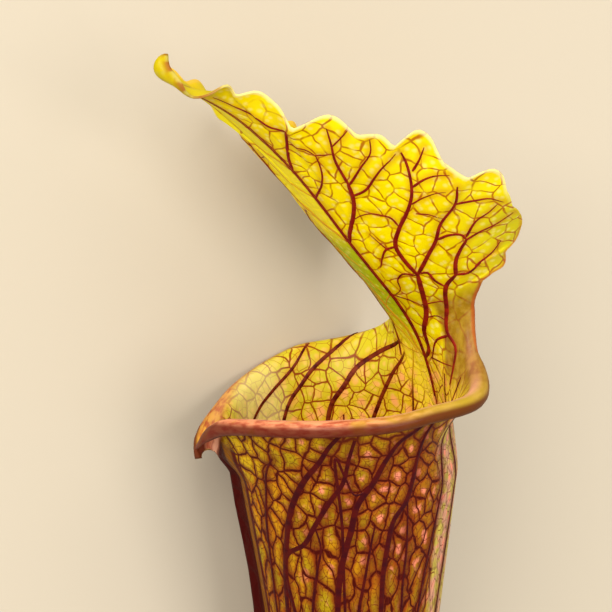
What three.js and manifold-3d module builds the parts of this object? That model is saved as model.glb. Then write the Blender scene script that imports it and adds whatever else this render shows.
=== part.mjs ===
// One trap leaf of a yellow pitcher plant, picked at its base and lying on its side.
// Millimetres. The leaf is first grown upright: x to the spout, y to the side that lies upwards,
// z up the tube, with z = 0 at the level of the mouth. It is then laid down along +Y.
import * as THREE from 'three'
import { mergeVertices } from 'three/addons/utils/BufferGeometryUtils.js'
import Module from 'manifold-3d'

// Driving dimensions
const WALL = 1.0
const THROAT_Z = -20
const THROAT_RADIUS = 27.5
const THROAT_SHIFT = -1.5
const BASE_Z = -290
const WELL_BOTTOM_Z = -262
const WELL_ROUNDING = 10
const THROAT_BLEND = 18
const COLUMN_TURN = THREE.MathUtils.degToRad(-19)
const FOLD_REACH = 5
const RIM_FLARE = 0.1
const RIM_CURVE = 2.0
const BEAK_REACH = 3.2
const BEAK_WIDTH = 0.34
const BEAK_RISE = 7
const KEEL_WIDTH = 1.5
const RUFFLE = 0.45
const ROLL_GROWTH = 1.3

// How the picked leaf lies: turned about its length, raised at one end, and how deep
// its low points are pressed flat
const LIE_ROLL = THREE.MathUtils.degToRad(-20.6)
const LIE_PITCH = THREE.MathUtils.degToRad(5.2)
const FLAT_DEPTH = 0.5

// The tube: height, radius, and how far its middle stands towards the spout
const TUBE = [
  [-290, 6.5, 6],
  [-262, 7.2, 4.4],
  [-225, 8.6, 2.2],
  [-180, 11, 0],
  [-140, 14, -1.5],
  [-100, 17.9, -2.6],
  [-60, 22.1, -2.8],
  [-20, THROAT_RADIUS, THROAT_SHIFT],
]

// Heights of the rings of the tube above the well, and below its floor
const TUBE_LEVELS = [-252, -212, -172, -134, -99, -67, -40, -20]
const FOOT_LEVELS = [-272, BASE_Z]

// Turns, in degrees, of the rings of the well's rounded floor
const WELL_TURNS = [32, 68]

// The keel's rise from the tube: height on the tube, rise
const KEEL = [
  [-290, 2], [-200, 3], [-61, 2.4], [-48, 1.9], [-34, 1.9], [-22, 1.9], [-15, 1.1], [-9, 0], [0, 0],
]

// The midrib from the throat, up the column and along the lid to where its tip curls back:
// distance towards the mouth's middle, height
const MIDRIB = [
  [-28.6, -20], [-27.8, -7], [-25.3, 3.2], [-22.6, 10.5], [-17.9, 19], [-9.8, 29.9], [-2.4, 39.6],
  [6.1, 51.3], [13.9, 61.2], [21.5, 69.4], [29.1, 76.4], [36.8, 81.8], [42.6, 85.2], [46.6, 87.2],
  [49.2, 89], [51.2, 91],
]

// How the blade folds across the midrib, in degrees: length along the midrib, twist of the
// whole blade, then a bend at the midrib and a bend per millimetre for the near and far halves
const FOLD = [
  [0, 0, 0, -2.05, 0, -2.05],
  [18, 0, 0, -1.9, 0, -1.9],
  [28, 8, 0, -0.3, 0, 1],
  [38, 20, 0, 1.8, 0, 2.6],
  [50, 22, 5, 1.2, 4, 2.3],
  [62, 22, 10, 0.6, 4, 2],
  [100, 22, 10, 0.6, 4, 2],
  [112, 22, 15, 0.6, 10, 1.7],
  [120, 20, 20, 0.3, 25, 0.9],
  [126, 14, 22, 0, 33, 0.4],
  [132, 4, -22, 0, 28, 0],
  [137, 0, -16, 0, 14, 0],
  [142, 0, -4, 0, 3, 0],
]

// The margin of each half from the tip to the spout: where its line starts on the throat,
// where it ends across and along the blade, then the angle and length of the edge's roll.
// The tip's roll is its backward curl, longest in the middle, where it ends in a thorn.
const TIP_MARGIN = [
  [0, 0, 138, 165, 8.5],
  [0.5, 1.1, 137.8, 160, 5.5],
  [1, 2.8, 136.8, 140, 4],
  [1.6, 4.6, 134, 90, 2.2],
]
const NEAR_MARGIN = [
  ...TIP_MARGIN,
  [2.5, 7.5, 128, 15, 1],
  [3.7, 12, 114, 0, 1],
  [4.8, 22, 99, 0, 1],
  [5.9, 32, 84, 0, 1],
  [7.1, 40, 71, 0, 1],
  [8.1, 40.5, 57, 0, 1],
  [9.3, 34.5, 48, 0, 1],
  [10.5, 24, 43, 20, 1.5],
  [11.7, 16.5, 38.5, 80, 3],
  [13.7, 15.7, 33.5, 115, 3.2],
  [16.5, 17, 30, 155, 4.4],
  [19, 19, 28, 195, 7],
  [23, 23, 26.4, 212, 7.8],
  [28, 28, 25.4, 228, 8.4],
  [34, 34, 25, 240, 8.7],
  [44, 44, 24.3, 248, 8.7],
  [56, 56, 24, 250, 8.7],
  [66.5, 66.5, 22.8, 250, 8.7],
  [80, 80, 19.2, 245, 8.7],
  [86, 86, 16.6, 235, 9],
  [91, 91, 12, 200, 9.4],
  [93.4, 93.4, 8.4, 175, 9.4],
]
const FAR_MARGIN = [
  ...TIP_MARGIN,
  [2.5, 6.5, 129, 15, 1],
  [3.7, 11, 115, 0, 1],
  [4.8, 20, 100, 0, 1],
  [5.9, 30, 86, 0, 1],
  [7.1, 37, 72, 0, 1],
  [8.1, 38, 58, 0, 1],
  [9.3, 32, 48, 0, 1],
  [10.5, 22.5, 43, 30, 2],
  [11.7, 16, 38.5, 80, 3],
  [13.7, 15.2, 33.5, 100, 2.6],
  [16.5, 16.8, 29.4, 125, 3],
  [19.5, 19.8, 27.2, 180, 5.4],
  [23.5, 23.5, 24.4, 212, 8],
  [28, 28, 22.2, 230, 8.7],
  [40, 40, 17.6, 245, 9],
  [50, 50, 14.4, 250, 9.3],
  [60, 60, 11.6, 240, 9.6],
  [68, 68, 9.2, 212, 9.7],
  [73, 73, 7.6, 182, 9.5],
]
const BEAK_END = [5.4, 150, 9.4]

// The lobes of the lid's margin: distance along the margin from the thorn, reach
const NEAR_LOBES = [
  [0, 0], [2.5, 0], [5, 1.6], [8, 0.8], [11.5, -0.5], [15, 0.8], [18.8, -2], [23, 0.5],
  [27.5, -0.6], [33.5, -5], [41, 1], [47.9, -0.8], [53, 1.3], [56.5, 0.4], [60, 6], [68.5, 1.8],
  [75, 1], [78.5, 5.6], [85.5, 2.8], [90.5, 1], [94.5, 2], [99.5, 3.2], [102.8, 3.2],
  [105.8, -0.4], [109.6, 2.3], [112.6, 0.4], [115.6, -1.2], [119, -0.6], [124, 0], [130, 0],
]
const FAR_LOBES = [
  [0, 0], [2.5, 0], [6.5, 1.2], [12.5, -1], [19.5, 2], [27.5, -3], [35.5, 4], [43.5, -2],
  [52.5, 5], [59.5, 0], [67.5, 6], [74.5, -1], [83.5, 5], [91.5, 0], [99.5, 2.5], [107, -0.5],
  [115, 0], [121, 0], [129, 0],
]

// How the lines are led over the column: up to where and how much they part on it, the start of
// the last line that climbs it, and how far up a line turns out, on the column and on the lip
const COLUMN_TOP = 40
const COLUMN_SPREAD = 1.13
const COLUMN_EDGE = 12.7
const TURN_OUT = [0.93, 0.55]
const LIP_LINES = [12, 16]
const BOW_PULL = [0.35, 0.65]
const BOW_LIMIT = 0.8
const LONG_LINES = [90, 115]

// Where the lip begins beside the column: across, and the height that it stays under
const LIP_FROM = [18, 28]
const LIP_TO = 40
const LIP_TOP = 34

// How finely the surface is split, how far apart its slopes are taken, and the least share of a
// margin's outward way that counts as sideways
const LOBE_STEP = 3.7
const LIP_STEP = 8.5
const KEEL_STEPS = [4.5, 2.4, 1.1, 0]
const TUBE_SPREAD = 0.5
const COLUMN_ROWS = 3
const BLADE_ROWS = 6
const ROLL_ROWS = 5
const FOLD_STEPS = 16
const PROBE = 0.3
const LEAN_PROBE = 0.5
const LEAST_OUT = 0.01

// Values of a table's columns at x, on a smooth curve through its rows
function along(table, x) {
  const last = table.length - 1
  const at = Math.min(Math.max(x, table[0][0]), table[last][0])
  let i = 0
  while (i < last - 1 && table[i + 1][0] <= at) i += 1
  const width = (k) => table[k + 1][0] - table[k][0]
  const slope = (k, c) => (table[k + 1][c] - table[k][c]) / width(k)
  const tangent = (k, c) => {
    if (k === 0) return slope(0, c)
    if (k === last) return slope(last - 1, c)
    return (slope(k - 1, c) * width(k) + slope(k, c) * width(k - 1)) / (width(k) + width(k - 1))
  }
  const h = width(i)
  const t = (at - table[i][0]) / h
  const rise = t * t * (3 - 2 * t)
  return table[i].slice(1).map((value, k) => {
    const c = k + 1
    return value + (table[i + 1][c] - value) * rise
      + h * (t * (1 - t) * (1 - t) * tangent(i, c) - t * t * (1 - t) * tangent(i + 1, c))
  })
}

// A table led by the running length of the line through the two given columns
function withLength(rows, a, b) {
  let length = 0
  return rows.map((row, i) => {
    if (i > 0) length += Math.hypot(row[a] - rows[i - 1][a], row[b] - rows[i - 1][b])
    return [length, ...row]
  })
}

const smooth = (x, from, to) => THREE.MathUtils.smoothstep(x, from, to)
const mix = ([from, to], share) => THREE.MathUtils.lerp(from, to, share)

// The column and lid stand turned a little round the back of the mouth
const inward = new THREE.Vector3(Math.cos(COLUMN_TURN), -Math.sin(COLUMN_TURN), 0)
const sideways = new THREE.Vector3(Math.sin(COLUMN_TURN), Math.cos(COLUMN_TURN), 0)
const upward = new THREE.Vector3(0, 0, 1)
const midribLine = withLength(MIDRIB, 0, 1)

// A point of the blade: distance across from the midrib on one side, length along the midrib
function bladePoint(side, across, length) {
  const [reach, height] = along(midribLine, length)
  const before = along(midribLine, length - LEAN_PROBE)
  const after = along(midribLine, length + LEAN_PROBE)
  const lean = Math.atan2(after[1] - before[1], after[0] - before[0])
  const [twist, nearBend, nearCurl, farBend, farCurl] = along(FOLD, length)
  const bend = side > 0 ? nearBend : farBend
  const curl = side > 0 ? nearCurl : farCurl
  let out = 0
  let back = 0
  const step = across / FOLD_STEPS
  for (let i = 0; i < FOLD_STEPS; i += 1) {
    const q = (i + 0.5) * step
    const angle = THREE.MathUtils.degToRad(twist * side + bend * smooth(q, 0, FOLD_REACH) + curl * q)
    out += Math.cos(angle) * step
    back += Math.sin(angle) * step
  }
  return new THREE.Vector3()
    .addScaledVector(inward, reach - back * Math.sin(lean))
    .addScaledVector(upward, height + back * Math.cos(lean))
    .addScaledVector(sideways, side * out)
}

// A point of the flared wall between the throat and the lip, drawn out to a beak in front
function wallPoint(side, across, length) {
  const turn = COLUMN_TURN + (side * across) / THROAT_RADIUS
  const f = length / -THROAT_Z
  const forward = Math.exp(-(((Math.abs(turn) - Math.PI) / BEAK_WIDTH) ** 2))
  const beak = BEAK_REACH * smooth(length, 0, BEAK_RISE) * forward
  const radius = THROAT_RADIUS + RIM_FLARE * length + RIM_CURVE * f * f + beak
  const middle = THROAT_SHIFT * (1 - f)
  return new THREE.Vector3(middle - radius * Math.cos(turn), radius * Math.sin(turn), THROAT_Z + length)
}

// Blade and wall run into each other round the foot of the column, and meet the tube's ring
// at the throat
function leafPoint(side, across, length) {
  const share = length > LIP_TOP ? 1 : 1 - smooth(across, LIP_FROM[0], LIP_TO)
  const mixed = (at) => {
    const point = new THREE.Vector3()
    if (share > 0) point.addScaledVector(bladePoint(side, across, at), share)
    if (share < 1) point.addScaledVector(wallPoint(side, across, at), 1 - share)
    return point
  }
  const point = mixed(length)
  const near = 1 - smooth(length, 0, THROAT_BLEND)
  if (near > 0) point.add(wallPoint(side, across, 0).sub(mixed(0)).multiplyScalar(near))
  return point
}

// Every line first climbs the column, and bends out to its own part of the margin above it. Lip
// lines bend out lower down.
function waistPoint(start, tip) {
  const onLip = smooth(start, ...LIP_LINES)
  const height = Math.min(COLUMN_TOP, tip.y * mix(TURN_OUT, onLip))
  if (start < COLUMN_EDGE) return new THREE.Vector2(start * COLUMN_SPREAD, height)
  return new THREE.Vector2(start + (tip.x - start) * (height / tip.y) ** 2, height)
}

// The way of one line over the leaf's own surface, across and along, from the throat to its tip
// on the margin, with the direction out over the margin
function layOut(margin, lobes, place) {
  const [start, across, length, rollTurn, rollLength] = along(margin, place)
  const ahead = along(margin, place + PROBE)
  const behind = along(margin, place - PROBE)
  const run = new THREE.Vector2(ahead[1] - behind[1], ahead[2] - behind[2]).normalize()
  const onLip = length < LIP_TOP ? smooth(across, ...LIP_FROM) : 0
  run.lerp(new THREE.Vector2(1, 0), place === 0 ? 1 : onLip).normalize()
  const out = new THREE.Vector2(-run.y, run.x)
  const reach = along(lobes, place)[0]
  const tip = new THREE.Vector2(across, length).addScaledVector(out, reach)
  const waist = waistPoint(start, tip)
  const rest = tip.clone().sub(waist)
  const pull = rest.length() * mix(BOW_PULL, smooth(tip.y, ...LONG_LINES))
  const arrival = Math.min(
    pull * Math.max(0, out.dot(rest.clone().normalize())),
    (BOW_LIMIT * rest.x) / Math.max(out.x, LEAST_OUT),
  )
  const bow = new THREE.CubicBezierCurve(
    waist,
    new THREE.Vector2(waist.x, waist.y + pull),
    tip.clone().addScaledVector(out, -arrival),
    tip,
  )
  const way = []
  for (let k = 1; k <= COLUMN_ROWS; k += 1) {
    const part = k / COLUMN_ROWS
    way.push(new THREE.Vector2(start + (waist.x - start) * part * part, waist.y * part))
  }
  for (let k = 1; k <= BLADE_ROWS; k += 1) way.push(bow.getPoint(k / BLADE_ROWS))
  return { way, start, tip, out, reach, rollTurn, rollLength }
}

// Which way the wall faces on the outside, at a point of the leaf's own surface
function outwardOf(side, across, length) {
  const from = Math.max(across, PROBE)
  const upwards = leafPoint(side, from, length + PROBE).sub(leafPoint(side, from, length - PROBE))
  const aside = leafPoint(side, from + PROBE, length).sub(leafPoint(side, from - PROBE, length))
  return upwards.cross(aside).multiplyScalar(side).normalize()
}

// One line of the leaf from the well up to the rolled edge, through the middle of the wall,
// with the way that the wall faces at each point
function meridian(side, plan, spread) {
  const { way, start, tip, out, reach, rollTurn, rollLength } = plan
  const points = []
  const outwards = []
  TUBE_LEVELS.forEach((z, k) => {
    const [radius, middle] = along(TUBE, z)
    const share = TUBE_SPREAD * (1 - k / (TUBE_LEVELS.length - 1))
    const turn = COLUMN_TURN + (side * mix([start, spread], share)) / THROAT_RADIUS
    points.push(new THREE.Vector3(middle - radius * Math.cos(turn), radius * Math.sin(turn), z))
    outwards.push(new THREE.Vector3(-Math.cos(turn), Math.sin(turn), 0))
  })
  way.forEach((at, k) => {
    const outward = outwardOf(side, at.x, at.y)
    const blade = Math.max(0, (k + 1 - COLUMN_ROWS) / BLADE_ROWS)
    const ruffle = RUFFLE * reach * blade ** 3
    points.push(leafPoint(side, at.x, at.y).addScaledVector(outward, ruffle))
    outwards.push(outward)
  })
  const outward = outwards[outwards.length - 1]
  const inside = leafPoint(side, Math.max(tip.x - PROBE * out.x, 0), tip.y - PROBE * out.y)
  const forward = leafPoint(side, tip.x, tip.y).sub(inside).normalize()
  const turned = (part, towards, aside) => {
    const angle = THREE.MathUtils.degToRad(rollTurn) * part ** ROLL_GROWTH
    return towards.clone().multiplyScalar(Math.cos(angle)).addScaledVector(aside, Math.sin(angle))
  }
  const back = forward.clone().negate()
  const pen = points[points.length - 1].clone()
  for (let k = 0; k < ROLL_ROWS; k += 1) {
    pen.addScaledVector(turned((k + 0.5) / ROLL_ROWS, forward, outward), rollLength / ROLL_ROWS)
    points.push(pen.clone())
    outwards.push(turned((k + 1) / ROLL_ROWS, outward, back))
  }
  return { points, outwards }
}

// Places of the lines round one half: close on the lobes, wide on the lip, close at the keel
function places(lobes, end) {
  const list = [0]
  const fill = (to, step) => {
    const from = list[list.length - 1]
    const count = Math.ceil((to - from) / step)
    for (let i = 1; i <= count; i += 1) list.push(from + ((to - from) * i) / count)
  }
  for (const [at] of lobes.slice(1)) fill(at, LOBE_STEP)
  fill(end - KEEL_STEPS[0], LIP_STEP)
  for (const back of KEEL_STEPS.slice(1)) list.push(end - back)
  return list
}

// The two halves' lines, from the midrib to the keel in front. Down the tube they spread evenly,
// except beside the keel.
function half(side, rows, lobes) {
  const front = THROAT_RADIUS * (Math.PI - side * COLUMN_TURN)
  const margin = withLength([...rows, [front, front, ...BEAK_END]], 1, 2)
  const end = margin[margin.length - 1][0]
  const list = places(lobes, end)
  return list.map((place, i) => {
    const even = (front * i) / (list.length - 1)
    const beside = front - Math.min(end - place, KEEL_STEPS[0])
    const spread = end - place > KEEL_STEPS[0] ? Math.min(even, beside) : beside
    return meridian(side, layOut(margin, lobes, place), spread)
  })
}

const nearLines = half(1, NEAR_MARGIN, NEAR_LOBES)
const farLines = half(-1, FAR_MARGIN, FAR_LOBES)
const lines = [...nearLines, ...farLines.slice(1, -1).reverse()]
const rowCount = lines[0].points.length

// The keel: a narrow wing down the front of the tube, from under the beak to the base
function keelRise(point) {
  const [radius, middle] = along(TUBE, point.z)
  const away = Math.abs(Math.atan2(point.y, point.x - middle)) * radius
  return along(KEEL, point.z)[0] * Math.exp(-((away / KEEL_WIDTH) ** 2))
}

// The closed skin: up the inside from the bottom of the well, round the edge, down the outside
// to the cut base
function rings() {
  const inner = []
  const outer = []
  for (let j = 0; j < rowCount; j += 1) {
    inner.push(lines.map(({ points, outwards }) => (
      points[j].clone().addScaledVector(outwards[j], -WALL / 2))))
    outer.push(lines.map(({ points, outwards }) => (
      points[j].clone().addScaledVector(outwards[j], WALL / 2 + keelRise(points[j])))))
  }
  const well = WELL_TURNS.map((degrees) => {
    const angle = THREE.MathUtils.degToRad(degrees)
    const z = WELL_BOTTOM_Z + WELL_ROUNDING * (1 - Math.cos(angle))
    const middle = along(TUBE, z)[1]
    return inner[0].map((point) => new THREE.Vector3(
      middle + (point.x - along(TUBE, point.z)[1]) * Math.sin(angle),
      point.y * Math.sin(angle),
      z,
    ))
  })
  const foot = FOOT_LEVELS.map((z) => {
    const [radius, middle] = along(TUBE, z)
    const [wide, wideMiddle] = along(TUBE, TUBE_LEVELS[0])
    return outer[0].map((point) => new THREE.Vector3(
      middle + ((point.x - wideMiddle) * radius) / wide,
      (point.y * radius) / wide,
      z,
    ))
  })
  return [...well, ...inner, ...outer.reverse(), ...foot]
}

// Triangles between the rings, closed by a point at each end. The inside and the outside of the
// wall are split along the same diagonals.
function skin() {
  const all = rings()
  const count = lines.length
  const turnRow = WELL_TURNS.length + rowCount
  const positions = []
  const index = []
  for (const ring of all) for (const point of ring) positions.push(point.x, point.y, point.z)
  const first = positions.length / 3
  positions.push(along(TUBE, WELL_BOTTOM_Z)[1], 0, WELL_BOTTOM_Z)
  positions.push(along(TUBE, BASE_Z)[1], 0, BASE_Z)
  for (let i = 0; i < count; i += 1) {
    const n = (i + 1) % count
    index.push(first, n, i)
    for (let r = 0; r < all.length - 1; r += 1) {
      const a = r * count + i
      const b = r * count + n
      const c = a + count
      const d = b + count
      if (r < turnRow) index.push(a, d, c, a, b, d)
      else index.push(a, b, c, c, b, d)
    }
    const base = (all.length - 1) * count
    index.push(base + i, base + n, first + 1)
  }
  const geometry = new THREE.BufferGeometry()
  geometry.setAttribute('position', new THREE.Float32BufferAttribute(positions, 3))
  geometry.setIndex(index)
  return geometry
}

// Lay the leaf along +Y with its far side down, its box standing on z = 0 round the origin
function layDown(geometry) {
  const lie = new THREE.Matrix4().makeBasis(
    new THREE.Vector3(-1, 0, 0),
    new THREE.Vector3(0, 0, 1),
    new THREE.Vector3(0, 1, 0),
  )
  geometry.applyMatrix4(lie)
  geometry.applyMatrix4(new THREE.Matrix4().makeRotationY(LIE_ROLL))
  geometry.applyMatrix4(new THREE.Matrix4().makeRotationX(LIE_PITCH))
  geometry.computeBoundingBox()
  const { min, max } = geometry.boundingBox
  geometry.translate(-(min.x + max.x) / 2, -(min.y + max.y) / 2, -min.z - FLAT_DEPTH)
  return geometry
}

const wasm = await Module()
wasm.setup()

function toSolid(geometry) {
  const plain = geometry.clone()
  plain.deleteAttribute('normal')
  plain.deleteAttribute('uv')
  const merged = mergeVertices(plain)
  return new wasm.Manifold(new wasm.Mesh({
    numProp: 3,
    vertProperties: new Float32Array(merged.attributes.position.array),
    triVerts: new Uint32Array(merged.index.array),
  }))
}

function toGeometry(solid) {
  const mesh = solid.getMesh()
  const geometry = new THREE.BufferGeometry()
  geometry.setAttribute('position', new THREE.BufferAttribute(new Float32Array(mesh.vertProperties), 3))
  geometry.setIndex(new THREE.BufferAttribute(new Uint32Array(mesh.triVerts), 1))
  geometry.computeVertexNormals()
  return geometry
}

// Press the low points flat on z = 0
function pressFlat(geometry) {
  const { min, max } = geometry.boundingBox
  const block = new THREE.BoxGeometry(2 * (max.x - min.x), 2 * (max.y - min.y), max.z - min.z)
  block.translate(0, 0, (min.z - max.z) / 2)
  return toGeometry(toSolid(geometry).subtract(toSolid(block)))
}

const leafMaterial = new THREE.MeshStandardMaterial({ color: 0xb98a1e, roughness: 0.45, metalness: 0 })
const leaf = new THREE.Mesh(pressFlat(layDown(skin())), leafMaterial)
leaf.name = 'pitcher_leaf'

const pitcher = new THREE.Group()
pitcher.add(leaf)

export default pitcher
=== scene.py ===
"""One trap leaf of a yellow pitcher plant, picked and laid on its side."""

import bmesh
import bpy
import numpy as np
from mathutils import Matrix, Vector
from mathutils.bvhtree import BVHTree
from mathutils.kdtree import KDTree


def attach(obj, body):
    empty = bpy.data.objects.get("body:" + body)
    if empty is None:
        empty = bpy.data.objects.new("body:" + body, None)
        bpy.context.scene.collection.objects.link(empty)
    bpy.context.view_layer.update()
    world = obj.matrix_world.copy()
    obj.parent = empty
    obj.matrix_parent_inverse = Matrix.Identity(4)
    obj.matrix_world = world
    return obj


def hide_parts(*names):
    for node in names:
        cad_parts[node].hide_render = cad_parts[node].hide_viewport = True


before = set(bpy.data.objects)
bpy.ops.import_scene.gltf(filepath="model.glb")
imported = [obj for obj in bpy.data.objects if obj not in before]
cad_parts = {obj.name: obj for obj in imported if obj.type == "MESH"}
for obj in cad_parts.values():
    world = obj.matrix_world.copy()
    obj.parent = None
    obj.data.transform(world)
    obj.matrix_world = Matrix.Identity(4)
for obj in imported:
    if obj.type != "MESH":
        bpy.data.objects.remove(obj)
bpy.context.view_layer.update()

# The leaf itself: a tube that widens to a mouth, with a rolled lip, a column at the back and a
# ruffled hood over it. It grew as one thin wall of living tissue, and is cut off at its foot.
# Each line of the wall climbs from the foot to the free edge, and the whole is then laid down.
# Sizes are in mm, with x to the spout, y to the upper side and z up the tube.
WALL = 1.0
EDGE_WALL = 0.55
EDGE_THINNING = 12
THROAT_Z = -20.0
THROAT_RADIUS = 27.5
THROAT_SHIFT = -1.5
THROAT_BLEND = 18
# the mouth flares evenly and then faster up to the lip, and its front is drawn out to a beak
FLARE = 0.1
LIP_FLARE = 2.0
BEAK_REACH = 3.2
BEAK_RISE = 7
BEAK_WIDTH = 0.34
# the hollow ends in a round well, and the stalk below it in a flat cut
BASE_Z = -290.0
CUT_HEIGHTS = (-262, -272, -281)
WELL_BOTTOM_Z = -262.0
WELL_TOP_Z = -252.0
WELL_ANGLES = (0, 15, 32, 50, 68)
# the column: its height, how its lines spread, and where across its edges and the lip start
LIP_TOP = 34
COLUMN_TOP = 40
COLUMN_SPREAD = 1.13
COLUMN_EDGE = 12.7
COLUMN_TURN = np.radians(-19)
BLADE_TO_WALL = (18, 40)
LIP_START = (18, 28)
# the share of a line's height at which it bends, on the blade and less of it on the side
BEND_HEIGHT = 0.93
SIDE_BEND_DROP = 0.38
SIDE_START = (12, 16)
LIP_SIDE = (11, 16)
# how far a line bows before it meets the margin, and how much more near the hood's tip
BOW = 0.35
TIP_BOW = 0.3
TIP_BOW_START = (90, 115)
RUFFLE = 0.45
ROLL_TIGHTENING = 1.3
# the lines of the tube end part of the way to an even spread
TUBE_SPREAD = 0.5
# a short way, for slopes
PROBE = 0.3
LIE_ROLL = np.radians(-20.6)
LIE_PITCH = np.radians(5.2)
LIE_SHIFT = (6.38227502, 97.60044861, 35.03515625)

# height, radius, and how far the middle stands towards the spout
TUBE = (
    (-290, 6.5, 6), (-262, 7.2, 4.4), (-225, 8.6, 2.2), (-180, 11, 0), (-140, 14, -1.5),
    (-100, 17.9, -2.6), (-60, 22.1, -2.8), (-20, 27.5, -1.5),
)
# height, rise of the keel
KEEL = (
    (-290, 2), (-200, 3), (-61, 2.4), (-48, 1.9), (-34, 1.9), (-22, 1.9), (-15, 1.1), (-9, 0),
    (0, 0),
)
KEEL_WIDTH = 1.5
# towards the mouth's middle, height
MIDRIB = (
    (-28.6, -20), (-27.8, -7), (-25.3, 3.2), (-22.6, 10.5), (-17.9, 19), (-9.8, 29.9),
    (-2.4, 39.6), (6.1, 51.3), (13.9, 61.2), (21.5, 69.4), (29.1, 76.4), (36.8, 81.8),
    (42.6, 85.2), (46.6, 87.2), (49.2, 89), (51.2, 91),
)
# length along the midrib, twist, bend and curl of the near half, bend and curl of the far half
FOLD = (
    (0, 0, 0, -2.05, 0, -2.05), (18, 0, 0, -1.9, 0, -1.9), (28, 8, 0, -0.3, 0, 1),
    (38, 20, 0, 1.8, 0, 2.6), (50, 22, 5, 1.2, 4, 2.3), (62, 22, 10, 0.6, 4, 2),
    (100, 22, 10, 0.6, 4, 2), (112, 22, 15, 0.6, 10, 1.7), (120, 20, 20, 0.3, 25, 0.9),
    (126, 14, 22, 0, 33, 0.4), (132, 4, -22, 0, 28, 0), (137, 0, -16, 0, 14, 0),
    (142, 0, -4, 0, 3, 0),
)
FOLD_REACH = 5
FOLD_STEPS = 16
# where a line starts on the throat, where it ends across and along, the roll's turn in degrees
# and its length
TIP_MARGIN = (
    (0, 0, 138, 165, 8.5), (0.5, 1.1, 137.8, 160, 5.5), (1, 2.8, 136.8, 140, 4),
    (1.6, 4.6, 134, 90, 2.2),
)
NEAR_MARGIN = TIP_MARGIN + (
    (2.5, 7.5, 128, 15, 1), (3.7, 12, 114, 0, 1), (4.8, 22, 99, 0, 1), (5.9, 32, 84, 0, 1),
    (7.1, 40, 71, 0, 1), (8.1, 40.5, 57, 0, 1), (9.3, 34.5, 48, 0, 1), (10.5, 24, 43, 20, 1.5),
    (11.7, 16.5, 38.5, 80, 3), (13.7, 15.7, 33.5, 115, 3.2), (16.5, 17, 30, 155, 4.4),
    (19, 19, 28, 195, 7), (23, 23, 26.4, 212, 7.8), (28, 28, 25.4, 228, 8.4),
    (34, 34, 25, 240, 8.7), (44, 44, 24.3, 248, 8.7), (56, 56, 24, 250, 8.7),
    (66.5, 66.5, 22.8, 250, 8.7), (80, 80, 19.2, 245, 8.7), (86, 86, 16.6, 235, 9),
    (91, 91, 12, 200, 9.4), (93.4, 93.4, 8.4, 175, 9.4),
)
FAR_MARGIN = TIP_MARGIN + (
    (2.5, 6.5, 129, 15, 1), (3.7, 11, 115, 0, 1), (4.8, 20, 100, 0, 1), (5.9, 30, 86, 0, 1),
    (7.1, 37, 72, 0, 1), (8.1, 38, 58, 0, 1), (9.3, 32, 48, 0, 1), (10.5, 22.5, 43, 30, 2),
    (11.7, 16, 38.5, 80, 3), (13.7, 15.2, 33.5, 100, 2.6), (16.5, 16.8, 29.4, 125, 3),
    (19.5, 19.8, 27.2, 180, 5.4), (23.5, 23.5, 24.4, 212, 8), (28, 28, 22.2, 230, 8.7),
    (40, 40, 17.6, 245, 9), (50, 50, 14.4, 250, 9.3), (60, 60, 11.6, 240, 9.6),
    (68, 68, 9.2, 212, 9.7), (73, 73, 7.6, 182, 9.5),
)
# the last line of each half, at the beak: its length, and the roll's turn and length
BEAK_END = (5.4, 150, 9.4)
# distance along the margin from the thorn, reach of the lobe
NEAR_LOBES = (
    (0, 0), (2.5, 0), (5, 1.6), (8, 0.8), (11.5, -0.5), (15, 0.8), (18.8, -2), (23, 0.5),
    (27.5, -0.6), (33.5, -5), (41, 1), (47.9, -0.8), (53, 1.3), (56.5, 0.4), (60, 6),
    (68.5, 1.8), (75, 1), (78.5, 5.6), (85.5, 2.8), (90.5, 1), (94.5, 2), (99.5, 3.2),
    (102.8, 3.2), (105.8, -0.4), (109.6, 2.3), (112.6, 0.4), (115.6, -1.2), (119, -0.6),
    (124, 0), (130, 0),
)
FAR_LOBES = (
    (0, 0), (2.5, 0), (6.5, 1.2), (12.5, -1), (19.5, 2), (27.5, -3), (35.5, 4), (43.5, -2),
    (52.5, 5), (59.5, 0), (67.5, 6), (74.5, -1), (83.5, 5), (91.5, 0), (99.5, 2.5),
    (107, -0.5), (115, 0), (121, 0), (129, 0),
)
# how finely the surface is split: steps along the margin, and rows up a line
LID_STEP = 0.9
LIP_STEP = 1.4
TIP_REACH = 4
TIP_STEPS = 12
KEEL_REACH = 6
KEEL_STEPS = 14
COLUMN_ROWS = 16
BLADE_ROWS = 38
ROLL_ROWS = 10
TUBE_ROWS = 26

INWARD = np.array((np.cos(COLUMN_TURN), -np.sin(COLUMN_TURN), 0))
SIDEWAYS = np.array((np.sin(COLUMN_TURN), np.cos(COLUMN_TURN), 0))
UPWARD = np.array((0, 0, 1.0))


def along(table, x):
    """The columns of a table at x, on a smooth curve through its rows."""
    rows = np.asarray(table, float)
    keys, values = rows[:, 0], rows[:, 1:]
    width = np.diff(keys)[:, None]
    slope = np.diff(values, axis=0) / width
    inner = (slope[:-1] * width[1:] + slope[1:] * width[:-1]) / (width[1:] + width[:-1])
    tangent = np.vstack([slope[:1], inner, slope[-1:]])
    x = np.clip(x, keys[0], keys[-1])
    i = np.clip(np.searchsorted(keys, x, side="right") - 1, 0, len(keys) - 2)
    t = ((x - keys[i]) / width[i, 0])[..., None]
    rise = t * t * (3 - 2 * t)
    swing = t * (1 - t) ** 2 * tangent[i] - t * t * (1 - t) * tangent[i + 1]
    curve = values[i] + (values[i + 1] - values[i]) * rise + width[i] * swing
    return np.moveaxis(curve, -1, 0)


def smooth(x, low, high):
    t = np.clip((x - low) / (high - low), 0, 1)
    return t * t * (3 - 2 * t)


def unit(v):
    return v / np.linalg.norm(v, axis=-1, keepdims=True)


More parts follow.
